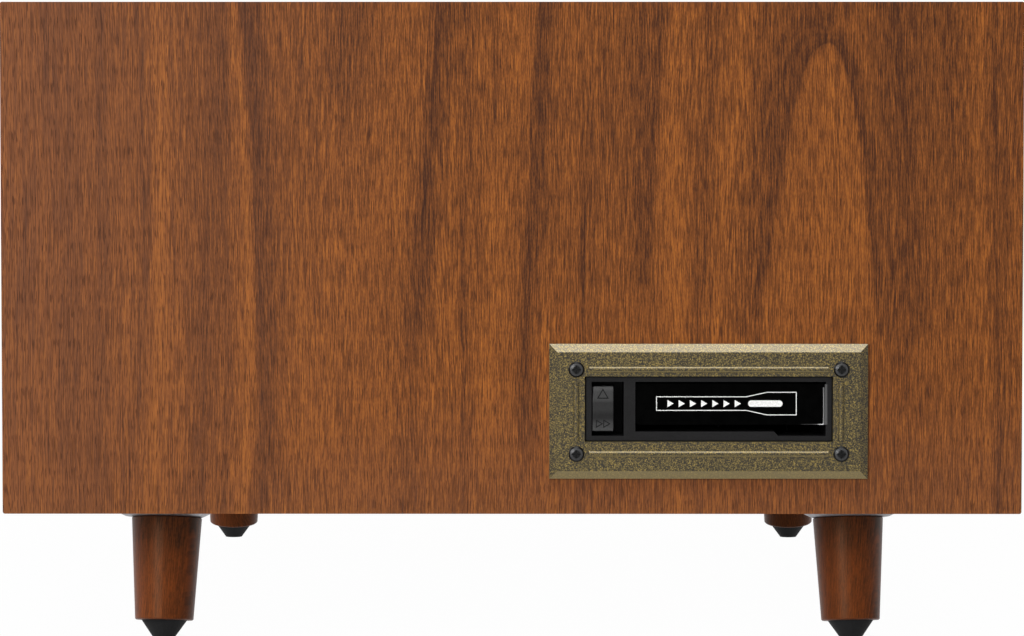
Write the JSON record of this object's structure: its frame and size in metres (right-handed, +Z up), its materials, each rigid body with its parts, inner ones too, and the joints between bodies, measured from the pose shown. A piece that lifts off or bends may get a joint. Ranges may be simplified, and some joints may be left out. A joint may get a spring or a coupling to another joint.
{
  "type": "record player",
  "caption": "Wood-cabinet tabletop record player on splayed legs, with lidded turntable, radio dial and speakers in front, and a slot-loading cassette unit in the right side.",
  "frame": {"origin": "on the floor under the middle of the cabinet", "axes": "+Z up, front with the dial at -Y, side with the cassette unit at +X"},
  "size_m": [0.4446, 0.355, 0.2273],
  "materials": {
    "veneer": "satin",
    "cabinet_wood": "satin",
    "back_board": "matte",
    "deck_black": "satin",
    "hinge_brass": "satin",
    "steel": "brushed",
    "leg_wood": "satin",
    "leg_plate_metal": "zinc",
    "rubber": "matte",
    "bronze": "textured",
    "black_screw": "black oxide",
    "housing_plastic": "satin",
    "flap_gloss": "gloss",
    "reel_plastic": "matte",
    "brass": "turned",
    "aluminium": "satin",
    "grille_cloth": "woven",
    "speaker_paper": "matte",
    "knob_plastic": "satin",
    "board": "satin"
  },
  "bodies": {
    "cabinet": {"right_side_panel": "veneer", "left_side_panel": "veneer", "front_baffle": "veneer", "bottom_panel": "cabinet_wood", "deck_rails": "cabinet_wood", "back_panel": "back_board", "deck_plate": "deck_black", "arm_base": "deck_black", "arm_rest": "deck_black", "connector_plate": "deck_black", "hinge_cabinet_leaves": "hinge_brass", "hinge_pins": "steel", "leg_bolts": "steel", "tape_chassis": "steel", "tape_motor": "steel", "tape_head": "steel", "turntable_motor": "steel", "leg_front_left": "leg_wood", "leg_front_right": "leg_wood", "leg_rear_left": "leg_wood", "leg_rear_right": "leg_wood", "leg_plates": "leg_plate_metal", "leg_tips": "rubber", "tape_belt": "rubber", "drive_belt": "rubber", "cassette_bezel": "bronze", "speaker_grilles": "bronze", "control_plate": "bronze", "bezel_screws": "black_screw", "cassette_housing": "housing_plastic", "spindle_bearing": "brass", "rear_jacks": "brass", "grille_cloths": "grille_cloth", "speakers": "speaker_paper", "main_board": "board"},
    "lid": {"lid_panel": "veneer", "hinge_lid_leaves": "hinge_brass"},
    "platter": {"platter": "aluminium", "platter_mat": "rubber", "spindle": "steel"},
    "motor_pulley": {"motor_pulley": "brass"},
    "gimbal": {"arm_gimbal": "aluminium"},
    "tonearm": {"arm_tube": "aluminium", "cartridge": "reel_plastic", "counterweight": "steel"},
    "cue_lever": {"cue_lever": "housing_plastic"},
    "cue_lift": {"cue_lift": "housing_plastic"},
    "speed_lever": {"speed_lever": "housing_plastic"},
    "flap": {"cassette_flap": "flap_gloss"},
    "button": {"eject_button": "housing_plastic"},
    "carriage": {"cassette_carriage": "steel"},
    "flywheel": {"capstan_flywheel": "brass"},
    "tape_pulley": {"tape_motor_pulley": "brass"},
    "take_up": {"take_up_spindle": "reel_plastic"},
    "supply": {"supply_spindle": "reel_plastic"},
    "pinch": {"pinch_roller": "rubber"},
    "tuning": {"tuning_knob": "knob_plastic"},
    "pointer": {"dial_pointer": "brass"},
    "volume": {"volume_knob": "knob_plastic"},
    "function": {"function_knob": "knob_plastic"}
  },
  "joints": [
    {"name": "lid_hinge", "type": "hinge", "parent": "cabinet", "child": "lid", "pos_m": [0, 0.174, 0.21534], "axis": [-1, 0, 0], "range_deg": [0, 75]},
    {"name": "platter_spin", "type": "hinge", "parent": "cabinet", "child": "platter", "pos_m": [-0.0472, 0.007, 0.18084], "axis": [0, 0, -1], "continuous": true},
    {"name": "motor_pulley_spin", "type": "hinge", "parent": "cabinet", "child": "motor_pulley", "pos_m": [-0.12341, 0.051, 0.16134], "axis": [0, 0, -1], "continuous": true},
    {"name": "tonearm_swing", "type": "hinge", "parent": "cabinet", "child": "gimbal", "pos_m": [0.1078, 0.102, 0.19534], "axis": [0, 0, -1], "range_deg": [0, 42]},
    {"name": "tonearm_lift", "type": "hinge", "parent": "gimbal", "child": "tonearm", "pos_m": [0.1078, 0.102, 0.19534], "axis": [-1, 0, 0], "range_deg": [0, 3]},
    {"name": "cue_lever_turn", "type": "hinge", "parent": "cabinet", "child": "cue_lever", "pos_m": [0.1278, 0.102, 0.16734], "axis": [-1, 0, 0], "range_deg": [0, 45]},
    {"name": "cue_lift_slide", "type": "slide", "parent": "cabinet", "child": "cue_lift", "axis": [0, 0, 1], "range_m": [0, 0.00157]},
    {"name": "speed_lever_turn", "type": "hinge", "parent": "cabinet", "child": "speed_lever", "pos_m": [0.17, -0.093, 0.16134], "axis": [0, 0, 1], "range_deg": [-30, 30]},
    {"name": "flap_hinge", "type": "hinge", "parent": "cabinet", "child": "flap", "pos_m": [0.2202, 0.0684, 0.0943], "axis": [0, 1, 0], "range_deg": [0, 80], "stiffness_Nm_per_rad": 0.002, "springref_deg": -22.92},
    {"name": "button_push", "type": "slide", "parent": "cabinet", "child": "button", "axis": [-1, 0, 0], "range_m": [0, 0.005], "stiffness_N_per_m": 150, "springref_m": -0.001},
    {"name": "carriage_travel", "type": "slide", "parent": "cabinet", "child": "carriage", "axis": [0, 0, 1], "range_m": [-0.007, 0]},
    {"name": "flywheel_spin", "type": "hinge", "parent": "cabinet", "child": "flywheel", "pos_m": [0.1166, 0.1014, 0.06139], "axis": [0, 0, 1], "continuous": true},
    {"name": "tape_pulley_spin", "type": "hinge", "parent": "cabinet", "child": "tape_pulley", "pos_m": [0.1106, 0.0224, 0.06139], "axis": [0, 0, 1], "continuous": true},
    {"name": "take_up_spin", "type": "hinge", "parent": "cabinet", "child": "take_up", "pos_m": [0.12535, 0.0731, 0.06799], "axis": [0, 0, 1], "continuous": true},
    {"name": "supply_spin", "type": "hinge", "parent": "cabinet", "child": "supply", "pos_m": [0.16785, 0.0731, 0.06799], "axis": [0, 0, 1], "continuous": true},
    {"name": "pinch_spin", "type": "hinge", "parent": "cabinet", "child": "pinch", "pos_m": [0.1166, 0.117, 0.072], "axis": [0, 0, 1], "continuous": true},
    {"name": "tuning_turn", "type": "hinge", "parent": "cabinet", "child": "tuning", "pos_m": [0, -0.1635, 0.14234], "axis": [0, 1, 0], "range_deg": [-210, 210]},
    {"name": "pointer_turn", "type": "hinge", "parent": "cabinet", "child": "pointer", "pos_m": [0, -0.1635, 0.14234], "axis": [0, 1, 0], "range_deg": [-70, 70]},
    {"name": "volume_turn", "type": "hinge", "parent": "cabinet", "child": "volume", "pos_m": [-0.04, -0.1635, 0.08734], "axis": [0, 1, 0], "range_deg": [-150, 150]},
    {"name": "function_turn", "type": "hinge", "parent": "cabinet", "child": "function", "pos_m": [0.04, -0.1635, 0.08734], "axis": [0, 1, 0], "range_deg": [-60, 60]}
  ],
  "couplings": [
    {"joint": "motor_pulley_spin", "follows": "platter_spin", "ratio": 12.727},
    {"joint": "cue_lift_slide", "follows": "cue_lever_turn", "m_per_rad": 0.002},
    {"joint": "tonearm_lift", "follows": "cue_lever_turn", "ratio": 0.066666},
    {"joint": "tape_pulley_spin", "follows": "flywheel_spin", "ratio": 4.25},
    {"joint": "take_up_spin", "follows": "flywheel_spin", "ratio": 2.125},
    {"joint": "pointer_turn", "follows": "tuning_turn", "ratio": 0.33333}
  ]
}
